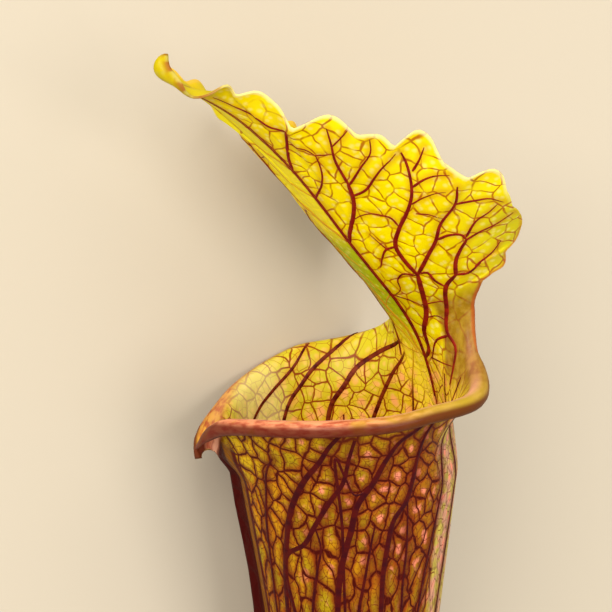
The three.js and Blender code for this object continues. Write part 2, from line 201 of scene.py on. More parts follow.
def with_length(rows, a, b):
    rows = np.asarray(rows, float)
    steps = np.hypot(np.diff(rows[:, a]), np.diff(rows[:, b]))
    return np.column_stack([np.r_[0, np.cumsum(steps)], rows])


MIDRIB_LINE = with_length(MIDRIB, 0, 1)


def blade_point(side, across, length):
    reach, height = along(MIDRIB_LINE, length)
    before, after = along(MIDRIB_LINE, length - 0.5), along(MIDRIB_LINE, length + 0.5)
    lean = np.arctan2(after[1] - before[1], after[0] - before[0])
    twist, near_bend, near_curl, far_bend, far_curl = along(FOLD, length)
    bend, curl = (near_bend, near_curl) if side > 0 else (far_bend, far_curl)
    step = across / FOLD_STEPS
    out, back = 0 * step, 0 * step
    for k in range(FOLD_STEPS):
        q = (k + 0.5) * step
        angle = np.radians(twist * side + bend * smooth(q, 0, FOLD_REACH) + curl * q)
        out = out + np.cos(angle) * step
        back = back + np.sin(angle) * step
    return (
        (reach - back * np.sin(lean))[..., None] * INWARD
        + (height + back * np.cos(lean))[..., None] * UPWARD
        + (side * out)[..., None] * SIDEWAYS
    )


def wall_point(side, across, length):
    turn = COLUMN_TURN + side * across / THROAT_RADIUS
    f = length / -THROAT_Z
    ahead = np.exp(-(((np.abs(turn) - np.pi) / BEAK_WIDTH) ** 2))
    beak = BEAK_REACH * smooth(length, 0, BEAK_RISE) * ahead
    radius = THROAT_RADIUS + FLARE * length + LIP_FLARE * f * f + beak
    middle = THROAT_SHIFT * (1 - f)
    x = middle - radius * np.cos(turn)
    return np.stack([x, radius * np.sin(turn), THROAT_Z + length], -1)


def leaf_point(side, across, length):
    """A point of the leaf, from its distance across and its length along the midrib."""
    across, length = np.broadcast_arrays(np.asarray(across, float), np.asarray(length, float))
    share = np.where(length > LIP_TOP, 1, 1 - smooth(across, *BLADE_TO_WALL))[..., None]

    def mixed(at):
        return blade_point(side, across, at) * share + wall_point(side, across, at) * (1 - share)

    near = (1 - smooth(length, 0, THROAT_BLEND))[..., None]
    foot = 0 * length
    return mixed(length) + (wall_point(side, across, foot) - mixed(foot)) * near


def outward_of(side, across, length):
    at = np.maximum(across, PROBE)
    upwards = leaf_point(side, at, length + PROBE) - leaf_point(side, at, length - PROBE)
    aside = leaf_point(side, at + PROBE, length) - leaf_point(side, at - PROBE, length)
    return unit(np.cross(upwards, aside) * side)


def scalloped(lobes, x):
    """The reach of the lobes at x: round at their tops and narrow in the notches."""
    keys, values = np.array(lobes, float).T
    i = np.clip(np.searchsorted(keys, x, side="right") - 1, 0, len(keys) - 2)
    t = np.clip((x - keys[i]) / (keys[i + 1] - keys[i]), 0, 1)
    rising = values[i + 1] > values[i]
    share = np.where(rising, np.sin(t * np.pi / 2), 1 - np.cos(t * np.pi / 2))
    return 0.4 * along(lobes, x)[0] + 0.6 * (values[i] + (values[i + 1] - values[i]) * share)


def half_leaf(side, margin_rows, lobes):
    """Every line of one half, midrib to keel: points, outward ways and places on the leaf.
    A place is across, along, and the way still to go to the free edge."""
    front = THROAT_RADIUS * (np.pi - side * COLUMN_TURN)
    margin = with_length(margin_rows + ((front, front) + BEAK_END,), 1, 2)
    end = margin[-1, 0]
    lid_end = lobes[-1][0]
    places = np.concatenate([
        np.linspace(0, TIP_REACH, TIP_STEPS + 1)[:-1],
        np.linspace(TIP_REACH, lid_end, int((lid_end - TIP_REACH) / LID_STEP))[:-1],
        np.linspace(lid_end, end - KEEL_REACH, int((end - KEEL_REACH - lid_end) / LIP_STEP))[:-1],
        np.linspace(end - KEEL_REACH, end, KEEL_STEPS + 1),
    ])
    start, across, length, roll_turn, roll_length = along(margin, places)
    ahead, behind = along(margin, places + PROBE), along(margin, places - PROBE)
    run = unit(np.stack([ahead[1] - behind[1], ahead[2] - behind[2]], -1))
    on_lip = np.where(length < LIP_TOP, smooth(across, *LIP_START), 0)
    on_lip[0] = 1
    run = unit(run + (np.array((1.0, 0)) - run) * on_lip[:, None])
    out = np.stack([-run[:, 1], run[:, 0]], -1)
    reach = scalloped(lobes, places)
    tip = np.stack([across, length], -1) + out * reach[:, None]
    bend = BEND_HEIGHT - SIDE_BEND_DROP * smooth(start, *SIDE_START)
    height = np.minimum(COLUMN_TOP, tip[:, 1] * bend)
    bowed = start + (tip[:, 0] - start) * (height / tip[:, 1]) ** 2
    waist = np.stack([np.where(start < COLUMN_EDGE, start * COLUMN_SPREAD, bowed), height], -1)
    rest = tip - waist
    rest_length = np.linalg.norm(rest, axis=-1)
    pull = rest_length * (BOW + TIP_BOW * smooth(tip[:, 1], *TIP_BOW_START))
    facing = np.maximum(0, (out * rest).sum(-1) / rest_length)
    arrival = np.minimum(pull * facing, 0.8 * rest[:, 0] / np.maximum(out[:, 0], 0.01))
    leaving = waist + np.stack([0 * pull, pull], -1)
    arriving = tip - out * arrival[:, None]
    part = np.linspace(0, 1, COLUMN_ROWS + 1)[None, :]
    climb_x = start[:, None] + (waist[:, 0] - start)[:, None] * part ** 2
    climb = np.stack([climb_x, waist[:, 1][:, None] * part], -1)
    t = np.linspace(0, 1, BLADE_ROWS + 1)[1:][None, :, None]
    bow = (
        (1 - t) ** 3 * waist[:, None] + 3 * (1 - t) ** 2 * t * leaving[:, None]
        + 3 * (1 - t) * t * t * arriving[:, None] + t ** 3 * tip[:, None]
    )
    flat = np.concatenate([climb, bow], 1)
    outward = outward_of(side, flat[..., 0], flat[..., 1])
    blade = np.r_[np.zeros(COLUMN_ROWS + 1), np.linspace(0, 1, BLADE_ROWS + 1)[1:]]
    ruffle = RUFFLE * reach[:, None] * blade[None, :] ** 3
    points = leaf_point(side, flat[..., 0], flat[..., 1]) + outward * ruffle[..., None]
    inside_x = np.maximum(tip[:, 0] - PROBE * out[:, 0], 0)
    inside = leaf_point(side, inside_x, tip[:, 1] - PROBE * out[:, 1])
    forward = unit(leaf_point(side, tip[:, 0], tip[:, 1]) - inside)
    last, pen, spot = outward[:, -1], points[:, -1], flat[:, -1]
    step = (roll_length / ROLL_ROWS)[:, None]
    rolled, roll_out, roll_flat = [], [], []
    for k in range(ROLL_ROWS):
        middle = (np.radians(roll_turn) * ((k + 0.5) / ROLL_ROWS) ** ROLL_TIGHTENING)[:, None]
        turned = (np.radians(roll_turn) * ((k + 1) / ROLL_ROWS) ** ROLL_TIGHTENING)[:, None]
        pen = pen + (forward * np.cos(middle) + last * np.sin(middle)) * step
        spot = spot + out * step
        rolled.append(pen)
        roll_out.append(last * np.cos(turned) - forward * np.sin(turned))
        roll_flat.append(spot)
    points = np.concatenate([points, np.stack(rolled, 1)], 1)
    outward = np.concatenate([outward, np.stack(roll_out, 1)], 1)
    flat = np.concatenate([flat, np.stack(roll_flat, 1)], 1)
    # the tube below, its lines spread evenly round it
    levels = np.linspace(WELL_TOP_Z, THROAT_Z, TUBE_ROWS + 1)[:-1]
    even = front * np.arange(len(places)) / (len(places) - 1)
    beside = front - np.minimum(end - places, KEEL_REACH)
    spread = np.where(end - places > KEEL_REACH, np.minimum(even, beside), beside)
    share = TUBE_SPREAD * (levels - THROAT_Z) / (WELL_TOP_Z - THROAT_Z)
    b = start[:, None] + (spread - start)[:, None] * share[None, :]
    turn = COLUMN_TURN + side * b / THROAT_RADIUS
    radius, middle = along(TUBE, levels)
    heights = np.broadcast_to(levels, b.shape)
    tube = np.stack([middle - radius * np.cos(turn), radius * np.sin(turn), heights], -1)
    tube_out = np.stack([-np.cos(turn), np.sin(turn), 0 * turn], -1)
    points = np.concatenate([tube, points], 1)
    outward = np.concatenate([tube_out, outward], 1)
    flat = np.concatenate([np.stack([b, heights - THROAT_Z], -1), flat], 1)
    hops = np.linalg.norm(np.diff(points, axis=1), axis=-1)
    run_length = np.concatenate([0 * hops[:, :1], np.cumsum(hops, axis=1)], 1)
    to_go = run_length[:, -1:] - run_length
    zone = np.stack([
        front - flat[..., 0],
        np.broadcast_to(smooth(start, *LIP_SIDE)[:, None], b.shape[:1] + flat.shape[1:2]),
        np.broadcast_to(roll_length[:, None], flat.shape[:2]),
    ], -1)
    place = np.stack([side * flat[..., 0], flat[..., 1], to_go], -1)
    return {"points": points, "outward": outward, "place": place, "zone": zone}


def keel_rise(points):
    radius, middle = along(TUBE, points[..., 2])
    away = np.abs(np.arctan2(points[..., 1], points[..., 0] - middle)) * radius
    return along(KEEL, points[..., 2])[0] * np.exp(-((away / KEEL_WIDTH) ** 2))


def ring_at(ring, from_z, to_z, size):
    """A ring of the tube carried to another height and drawn in to a share of its size."""
    old, new = along(TUBE, from_z)[1], along(TUBE, to_z)[1]
    moved = ring * (size, size, 0)
    return moved + (new - old * size, 0, to_z)


def wall_of(half):
    """Rows of the closed wall: up the inside, round the edge, down the outside, over the cut."""
    points, outward = half["points"], half["outward"]
    to_go = half["place"][..., 2]
    thick = EDGE_WALL + (WALL - EDGE_WALL) * smooth(to_go, 0, EDGE_THINNING)
    inner = points - outward * (thick / 2)[..., None]
    outer = points + outward * (thick / 2 + keel_rise(points))[..., None]
    bottom, foot = inner[:, 0], outer[:, 0]
    angles = np.radians(WELL_ANGLES)
    well_heights = WELL_BOTTOM_Z + (WELL_TOP_Z - WELL_BOTTOM_Z) * (1 - np.cos(angles))
    well = [ring_at(bottom, WELL_TOP_Z, z, np.sin(a)) for z, a in zip(well_heights, angles)]
    # the outer rings go down to the cut, and the last two close it
    cut_heights = CUT_HEIGHTS + (BASE_Z,) * 3
    sizes = [along(TUBE, z)[0] / along(TUBE, WELL_TOP_Z)[0] for z in cut_heights]
    sizes[-2:] = [0.5 * sizes[-2], 0]
    cut = [ring_at(foot, WELL_TOP_Z, z, size) for z, size in zip(cut_heights, sizes)]
    rows = well + list(np.moveaxis(inner, 1, 0)) + list(np.moveaxis(outer, 1, 0)[::-1]) + cut
    both = {}
    for name in ("place", "zone"):
        values = np.moveaxis(half[name], 1, 0)
        sink = 1 if name == "place" else 0
        low = [values[0] + (0, sink * (z - WELL_TOP_Z), 0) for z in well_heights]
        down = [values[0] + (0, sink * (z - WELL_TOP_Z), 0) for z in cut_heights]
        both[name] = np.stack(low + list(values) + list(values[::-1]) + down)
    ways = list(np.moveaxis(outward, 1, 0))
    ways = [-ways[0]] * len(low) + [-way for way in ways] + ways[::-1] + [ways[0]] * len(down)
    return np.stack(rows), both["place"], both["zone"], np.stack(ways)


def laid_down(points):
    """The leaf's own millimetres to metres in the row frame, pressed flat where it rests."""
    x, y, z = -points[..., 0], points[..., 2], points[..., 1]
    c, s = np.cos(LIE_ROLL), np.sin(LIE_ROLL)
    x, z = c * x + s * z, c * z - s * x
    c, s = np.cos(LIE_PITCH), np.sin(LIE_PITCH)
    y, z = c * y - s * z, s * y + c * z
    laid = np.stack([x, y, z], -1) + LIE_SHIFT
    laid[..., 2] = np.maximum(laid[..., 2], 0)
    return laid * 0.001


near = half_leaf(1, NEAR_MARGIN, NEAR_LOBES)
far = half_leaf(-1, FAR_MARGIN, FAR_LOBES)
for name in ("points", "outward"):
    far[name][0] = near[name][0]
    far[name][-1] = near[name][-1]

# rows of the closed wall: the well, each face, and the cut
CUT_ROWS = 2
WELL_ROWS = len(WELL_ANGLES)
HALF_ROWS = TUBE_ROWS + COLUMN_ROWS + 1 + BLADE_ROWS + ROLL_ROWS
# in metres: points nearer than this are one, and shorter edges go
MERGED_WITHIN = 2e-6
SHORTEST_EDGE = 1e-7
UV_PER_MM = 0.01

leaf_mesh = bpy.data.meshes.new("pitcher")
work = bmesh.new()
sheets = []
for half in (near, far):
    sheets.append(wall_of(half))
    rows = sheets[-1][0]
    bmesh.ops.create_grid(work, x_segments=rows.shape[1] - 1, y_segments=rows.shape[0] - 1, size=1)
work.to_mesh(leaf_mesh)
work.free()
spots = np.concatenate([laid_down(rows).reshape(-1, 3) for rows, _, _, _ in sheets])
leaf_mesh.vertices.foreach_set("co", spots.ravel())
for name, k in (("leaf_place", 1), ("leaf_zone", 2)):
    values = np.concatenate([sheet[k].reshape(-1, 3) for sheet in sheets])
    places = leaf_mesh.attributes.new(name, "FLOAT_VECTOR", "POINT")
    places.data.foreach_set("vector", values.ravel())
corner_vertex = np.empty(len(leaf_mesh.loops), int)
leaf_mesh.loops.foreach_get("vertex_index", corner_vertex)
across_along = np.concatenate([sheet[1].reshape(-1, 3)[:, :2] for sheet in sheets])
uv = leaf_mesh.uv_layers.new(name="across_along")
uv.data.foreach_set("uv", (across_along[corner_vertex] * UV_PER_MM).ravel())
finish = []
for rows, _, _, _ in sheets:
    count = rows.shape[1] - 1
    kinds = np.ones(rows.shape[0] - 1, int)
    kinds[:WELL_ROWS + HALF_ROWS] = 0
    kinds[-CUT_ROWS:] = 2
    finish.append(np.repeat(kinds, count))
leaf_mesh.polygons.foreach_set("material_index", np.concatenate(finish).astype(np.int32))
work = bmesh.new()
work.from_mesh(leaf_mesh)
bmesh.ops.remove_doubles(work, verts=work.verts, dist=MERGED_WITHIN)
bmesh.ops.dissolve_degenerate(work, edges=work.edges, dist=SHORTEST_EDGE)
bmesh.ops.recalc_face_normals(work, faces=work.faces)
for face in work.faces:
    face.smooth = True
work.to_mesh(leaf_mesh)
work.free()
pitcher = bpy.data.objects.new("pitcher", leaf_mesh)
bpy.context.collection.objects.link(pitcher)


def add(tree, kind, links=None, **settings):
    """One node with its settings and what goes into it, by socket name or number."""
    node = tree.nodes.new(kind)
    for name, value in settings.items():
        setattr(node, name, value)
    for key, value in (links or {}).items():
        if isinstance(value, bpy.types.NodeSocket):
            tree.links.new(value, node.inputs[key])
        else:
            node.inputs[key].default_value = value
    return node


def linear(code):
    """An sRGB hex colour as linear red, green, blue and alpha."""
    parts = [int(code[i:i + 2], 16) / 255 for i in (0, 2, 4)]
    return (*[c / 12.92 if c <= 0.04045 else ((c + 0.055) / 1.055) ** 2.4 for c in parts], 1)


def clear_material(name):
    material = bpy.data.materials.new(name)
    material.use_nodes = True
    material.node_tree.nodes.clear()
    return material, material.node_tree


def share(tree, w, *limits, most=1.0):
    """How much of a finish shows, as a product of shares from 0 to 1. A limit is the name of a
    share in w, or a name, the values where its smooth step starts and ends, and the shares
    there if they aren't 0 and 1."""
    parts = []
    for limit in limits:
        if isinstance(limit, str):
            parts.append(w[limit])
            continue
        name, low, high, *ends = limit
        start, end = ends or (0, 1)
        stepped = add(
            tree, "ShaderNodeMapRange",
            {"Value": w[name], "From Min": low, "From Max": high, "To Min": start, "To Max": end},
            interpolation_type="SMOOTHSTEP",
        )
        parts.append(stepped.outputs[0])
    if most != 1:
        parts.append(most)
    result = parts[0]
    for part in parts[1:]:
        result = add(tree, "ShaderNodeMath", {0: result, 1: part}, operation="MULTIPLY").outputs[0]
    return result


def paint(tree, w, base, colour, *limits, most=1.0):
    """A colour laid over the base within its limits. Both are hex codes or sockets."""
    below, above = (linear(tone) if isinstance(tone, str) else tone for tone in (base, colour))
    cover = share(tree, w, *limits, most=most)
    return add(tree, "ShaderNodeMix", {0: cover, 6: below, 7: above}, data_type="RGBA").outputs[2]


# Living leaf tissue is waxy and moist: it has a soft gloss and lets light through, most of all
# in the thin hood. Its colours and its relief follow the places on the leaf, in mm.
# Name, cells per mm and detail: patches of 17 mm, blotches of 5 mm, and mottling of 2 mm. The
# grain of the skin is under 0.1 mm, and dusk, which stands for it, is drawn at 0.7 mm to show.
LEAF_NOISES = (("patches", 0.06, 3), ("blotch", 0.22, 2), ("mottle", 0.5, 4), ("dusk", 1.5, 4))


def leaf_tissue(name, finish_of, in_tube, in_lid, roughness, gloss):
    """A skin whose colour and height come from a function of the places on the leaf."""
    material, tree = clear_material(name)
    place = add(tree, "ShaderNodeAttribute", attribute_name="leaf_place").outputs["Vector"]
    zone = add(tree, "ShaderNodeAttribute", attribute_name="leaf_zone").outputs["Vector"]
    near_vein = add(tree, "ShaderNodeAttribute", attribute_name="vein_distance").outputs["Fac"]
    w = {"near_vein": near_vein}
    w["across"], w["length"], w["to_go"] = add(tree, "ShaderNodeSeparateXYZ", {0: place}).outputs
    w["keel"], w["lip"], w["roll"] = add(tree, "ShaderNodeSeparateXYZ", {0: zone}).outputs
    w["flat"] = add(tree, "ShaderNodeCombineXYZ", {0: w["across"], 1: w["length"]}).outputs[0]
    for noise, scale, detail in LEAF_NOISES:
        links = {"Vector": w["flat"], "Scale": scale, "Detail": detail}
        w[noise] = add(tree, "ShaderNodeTexNoise", links).outputs["Fac"]
    colour, height = finish_of(tree, w)
    bump = add(
        tree, "ShaderNodeBump", {"Height": height, "Strength": 0.6, "Distance": 0.0005}
    ).outputs[0]
    body = add(
        tree, "ShaderNodeBsdfPrincipled",
        {"Base Color": colour, "Roughness": roughness, "Normal": bump, "Coat Weight": gloss,
         "Coat Roughness": 0.18, "Specular IOR Level": 0.06},
    ).outputs[0]
    glow = add(tree, "ShaderNodeBsdfTranslucent", {"Color": colour, "Normal": bump}).outputs[0]
    thin = share(tree, w, ("length", 20, 45, in_tube, in_lid))
    mixed = add(tree, "ShaderNodeMixShader", {0: thin, 1: body, 2: glow}).outputs[0]
    add(tree, "ShaderNodeOutputMaterial", {"Surface": mixed})
    return material


def net(tree, w, cell, stretch, warp):
    """A net of cells on the skin: how far a place is from its cell's border and middle. The
    cells are cell mm across and stretch times as long, and longer down the tube."""
    sway = add(
        tree, "ShaderNodeTexNoise", {"Vector": w["flat"], "Scale": 0.6 / cell, "Detail": 2}
    ).outputs["Color"]
    longer = add(
        tree, "ShaderNodeMath", {0: w["length"], 1: -0.02 / stretch, 2: 1.0},
        operation="MULTIPLY_ADD",
    ).outputs[0]
    longer = add(tree, "ShaderNodeMath", {0: longer, 1: 1.0}, operation="MAXIMUM").outputs[0]
    y = add(
        tree, "ShaderNodeMath", {0: w["length"], 1: cell * stretch}, operation="DIVIDE"
    ).outputs[0]
    y = add(tree, "ShaderNodeMath", {0: y, 1: longer}, operation="DIVIDE").outputs[0]
    x = add(tree, "ShaderNodeMath", {0: w["across"], 1: cell}, operation="DIVIDE").outputs[0]
    spot = add(tree, "ShaderNodeCombineXYZ", {0: x, 1: y}).outputs[0]
    sway = add(
        tree, "ShaderNodeVectorMath", {0: sway, 1: (0.5, 0.5, 0.5)}, operation="SUBTRACT"
    ).outputs[0]
    sway = add(tree, "ShaderNodeVectorMath", {0: sway, "Scale": warp}, operation="SCALE").outputs[0]
    spot = add(tree, "ShaderNodeVectorMath", {0: spot, 1: sway}, operation="ADD").outputs[0]
    return [
        add(
            tree, "ShaderNodeTexVoronoi", {"Vector": spot, "Scale": 1.0},
            voronoi_dimensions="2D", feature=feature,
        ).outputs["Distance"]
        for feature in ("DISTANCE_TO_EDGE", "F1")
    ]


def lines_of(tree, w, border, width, soft):
    """Lines along the cells' borders, whose width varies with the mottle."""
    beyond = add(
        tree, "ShaderNodeMath", {0: w["mottle"], 1: -2 * width, 2: w[border]},
        operation="MULTIPLY_ADD",
    ).outputs[0]
    return share(tree, {"beyond": beyond}, ("beyond", soft, 0))


def relief(tree, w, swell):
    """The height of the skin: cells that swell between their borders, and a fine unevenness."""
    cells = share(tree, w, ("border", 0, 0.3), ("to_go", 8, 12), most=swell)
    fine = share(tree, w, "mottle", most=0.35)
    return add(tree, "ShaderNodeMath", {0: cells, 1: fine}, operation="ADD").outputs[0]


def lip_colour(tree, w):
    """Where the skin rolls over the lip, as the share on_lip, and its colour there."""
    start = add(
        tree, "ShaderNodeMath", {0: w["to_go"], 1: w["roll"]}, operation="SUBTRACT"
    ).outputs[0]
    far_side = share(tree, w, ("across", -74, -48, 1.8, 4.3), ("across", 4, -4))
    w["before_lip"] = add(
        tree, "ShaderNodeMath", {0: start, 1: far_side}, operation="ADD"
    ).outputs[0]
    w["on_lip"] = share(tree, w, "lip", ("before_lip", 1.4, -1.4))
    # streaks that run along the roll
    spot = add(tree, "ShaderNodeCombineXYZ", {0: w["across"], 1: w["to_go"]}).outputs[0]
    spot = add(
        tree, "ShaderNodeVectorMath", {0: spot, 1: (0.35, 0.9, 0)}, operation="MULTIPLY"
    ).outputs[0]
    w["streaks"] = add(
        tree, "ShaderNodeTexNoise", {"Vector": spot, "Scale": 1.0, "Detail": 4}
    ).outputs["Fac"]
    near_tone = paint(tree, w, "E69468", "B05438", ("streaks", 0.38, 0.66))
    far_tone = paint(tree, w, "C89428", "A04C1C", ("streaks", 0.38, 0.66))
    tone = paint(tree, w, near_tone, far_tone, ("across", 4, -4, 0, 0.85))
    tone = paint(tree, w, tone, "C08C2C", ("blotch", 0.54, 0.7, 0, 0.7))
    tone = paint(tree, w, tone, "B09820", ("across", 60, 34), ("across", 10, 16), most=0.8)
    # painted highlight: a pale pink band along the top of the roll, weaker on the far side
    tone = paint(
        tree, w, tone, "F0B090",
        ("before_lip", -3.8, -1.8), ("before_lip", 0.8, -1), ("across", -4, 4, 0.15, 0.8),
    )
    # painted shade: the underside of the roll darkened to a dark red
    return paint(tree, w, tone, "560A00", ("before_lip", -4.3, -5.8), most=0.9)


def inner_finish(tree, w):
    """The tube's lining and the hood's face: yellow, netted with dark red."""
    w["border"], w["core"] = net(tree, w, 4.6, 1.15, 0.9)
    w["fine_border"], w["fine_core"] = net(tree, w, 2.5, 1, 0.5)
    w["inside"] = share(tree, w, ("length", 34, 18))
    lid = paint(tree, w, "FFEE00", "F6DC00", ("patches", 0.38, 0.66))
    lid = paint(tree, w, lid, "D8CC00", ("length", 66, 40, 0, 0.6))
    lid = paint(
        tree, w, lid, "90BE00", ("across", 0.6, -0.6), ("length", 72, 62), ("length", 33, 41),
        most=0.9,
    )
    lid = paint(tree, w, lid, "C4C008", ("across", 26, 38), ("length", 76, 58), most=0.5)
    tube = paint(tree, w, "F2D034", "DEB81C", ("patches", 0.4, 0.65))
    tube = paint(tree, w, tube, "B4AC20", ("to_go", 30, 16), ("across", -8, -16), most=0.7)
    base = paint(tree, w, lid, tube, "inside")
    # pale middles of the cells, and pinker ones deeper down
    cream = paint(tree, w, "FFF490", "F8B868", "inside")
    base = paint(tree, w, base, cream, ("fine_core", 0.36, 0.04), most=0.45)
    base = paint(
        tree, w, base, "FAA468",
        ("core", 0.35, 0.12), "inside", ("across", -62, -42), ("to_go", 14, 24), most=0.75,
    )
    # the strip beside the midrib has hardly any veins and is painted paler as painted light, and
    # the rest is flushed beside them
    w["clean"] = share(
        tree, w, ("across", -0.3, -1.2), ("across", -12, -8), ("length", 8, 18), most=0.92
    )
    w["veined"] = add(
        tree, "ShaderNodeMath", {0: 1.0, 1: w["clean"]}, operation="SUBTRACT"
    ).outputs[0]
    # painted light: the strip, which faces away from the lamps, painted a paler lemon towards the
    # hood's tip
    base = paint(tree, w, base, "FFF424", "clean", ("length", 68, 80, 0.3, 0.9))
    base = paint(tree, w, base, "CC6A14", ("near_vein", 2, 0.3), "veined", most=0.4)
    # the net, in patches on the hood and everywhere in the tube
    shown = share(tree, w, ("blotch", 0.3, 0.54, 0.3, 1), most=0.85)
    w["shown"] = add(
        tree, "ShaderNodeMath", {0: shown, 1: w["inside"]}, operation="MAXIMUM"
    ).outputs[0]
    w["lines"] = lines_of(tree, w, "border", 0.02, 0.055)
    w["thin_lines"] = lines_of(tree, w, "fine_border", 0.012, 0.035)
    red = paint(tree, w, "A63204", "802404", "inside")
    base = paint(tree, w, base, red, "lines", "shown", ("length", 122, 108), "veined", most=0.95)
    base = paint(tree, w, base, "963C0C", "thin_lines", "inside", most=0.7)
    # a pale patch by the spout, painted as a highlight on the inner wall; the margins, orange low
    # down and with a painted pale rim light higher on the hood; and the withered tip
    base = paint(
        tree, w, base, "F6E6A0", ("across", -42, -50), ("across", -68, -58),
        ("length", -14, 6), ("length", 24, 14), most=0.4,
    )
    base = paint(tree, w, base, "CC6C30", ("to_go", 1.3, 0.5), ("length", 60, 42), most=0.7)
    # painted highlight: a pale cream rim light along the hood's inner edge
    base = paint(tree, w, base, "FFF8B8", ("to_go", 1.2, 0.3), ("length", 58, 70), most=0.6)
    w["tip"] = share(tree, w, ("length", 120, 132))
    base = paint(tree, w, base, "B4A00C", "tip", most=0.75)
    base = paint(
        tree, w, base, "A04C10", "tip", ("to_go", 2.4, 0.4), ("blotch", 0.36, 0.52), most=0.8
    )
    # the lip, and the column's turned-out edges
    tone = lip_colour(tree, w)
    base = paint(tree, w, base, tone, "on_lip")
    w["flange"] = share(
        tree, w, ("across", 8.5, 10.5), ("across", 30, 21), ("length", 46, 40), ("length", 20, 27)
    )
    brown = paint(tree, w, "7E480E", "9C7026", ("mottle", 0.35, 0.65))
    base = paint(tree, w, base, brown, "flange", most=0.85)
    base = paint(tree, w, base, "B8561E", "flange", ("to_go", 1.6, 0.9), most=0.7)
    return base, relief(tree, w, 0.35)


def outer_finish(tree, w):
    """The outside: amber and olive under a maroon net, a pale strip behind and a dark keel."""
    w["border"], w["core"] = net(tree, w, 3.9, 1.3, 0.9)
    w["fine_border"], _ = net(tree, w, 1.7, 1.4, 0.5)
    w["on_lid"] = share(tree, w, ("length", 10, 40))
    w["below"] = share(tree, w, ("length", 50, 16))
    w["back"] = share(tree, w, ("across", 32, 29), ("across", -30, -25), ("length", 30, 16))
    w["off_back"] = share(tree, w, ("back", 1, 0.3))
    lid = paint(tree, w, "E6C400", "C8B414", ("patches", 0.4, 0.65))
    tube = paint(tree, w, "BC820A", "9C800A", ("patches", 0.38, 0.6))
    tube = paint(tree, w, tube, "AC6008", ("blotch", 0.5, 0.7, 0, 0.8))
    tube = paint(tree, w, tube, "782406", ("across", 62, 46), ("length", -50, -14), most=0.5)
    tube = paint(tree, w, tube, "E0B414", ("keel", 24, 8), ("length", 0, 11), most=0.8)
    pale = paint(tree, w, "C4B04C", "D0967A", ("blotch", 0.4, 0.6))
    tube = paint(tree, w, tube, pale, "back", most=0.85)
    base = paint(tree, w, tube, lid, "on_lid")
    # reddish-brown beside the borders, partly the net's own flush and partly painted shade that
    # makes the cells look swollen, pink spots in the cells near the mouth, and the flush of the
    # veins
    base = paint(tree, w, base, "8A3408", ("border", 0.3, 0.04), "below", "off_back", most=0.75)
    base = paint(
        tree, w, base, "F08A6C", ("core", 0.3, 0.08), ("blotch", 0.44, 0.58),
        ("length", -46, -8), ("length", 40, 20), ("keel", 20, 34), most=0.85,
    )
    base = paint(tree, w, base, "641804", ("near_vein", 3, 0.4), ("length", 60, 10, 0.25, 0.75))
    # the net, fainter on the hood and on the strip behind, and a dark speckle
    w["lines"] = lines_of(tree, w, "border", 0.03, 0.06)
    w["thin_lines"] = lines_of(tree, w, "fine_border", 0.012, 0.05)
    maroon = paint(tree, w, "400500", "8C3A14", "on_lid")
    base = paint(
        tree, w, base, maroon,
        "lines", ("length", 60, 20, 0.35, 1), ("length", 118, 100), ("back", 0.2, 1, 1, 0.4),
    )
    base = paint(tree, w, base, "5E1806", "thin_lines", ("length", 40, 10), most=0.85)
    base = paint(tree, w, base, "501404", ("dusk", 0.5, 0.68), "below", "off_back", most=0.5)
    # the keel: a brown strip, a dark fold, and the edge in dark maroon deepened to nearly black,
    # partly as painted shade of its far side seen edge-on
    w["wing"] = share(tree, w, ("length", 15, 8))
    base = paint(tree, w, base, "7A4A0C", ("keel", 8.5, 7.5), "wing")
    base = paint(tree, w, base, "4A0A06", ("keel", 7, 7.8), ("keel", 9.6, 8.6), "wing")
    # partly painted shade: the wing's edge darkened to nearly black
    base = paint(tree, w, base, "3A0200", ("keel", 5, 4), "wing")
    # pale gold edge of the hood's outside, partly its own margin colour and partly a painted rim
    # light
    base = paint(tree, w, base, "E8B850", ("to_go", 1.6, 0.5), "on_lid", most=0.6)
    tone = lip_colour(tree, w)
    base = paint(tree, w, base, tone, "on_lip")
    return base, relief(tree, w, 1.3)


def cut_finish(tree, w):
    """The cut: pale green and moist."""
    return paint(tree, w, "D9D9A0", "C4C07A", ("mottle", 0.4, 0.6)), w["mottle"]


# The inner skin shines softly and glows in the hood, where light comes through
leaf_mesh.materials.append(leaf_tissue("leaf_inner_skin", inner_finish, 0.1, 0.34, 0.45, 0.12))
# The outer skin is duller and more uneven, and less light comes through
leaf_mesh.materials.append(leaf_tissue("leaf_outer_skin", outer_finish, 0.1, 0.2, 0.5, 0.02))
# The cut is nearly matt, like a fresh cut stalk
leaf_mesh.materials.append(leaf_tissue("cut_leaf_tissue", cut_finish, 0.1, 0.1, 0.6, 0.05))
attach(pitcher, "root")
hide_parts("pitcher_leaf")


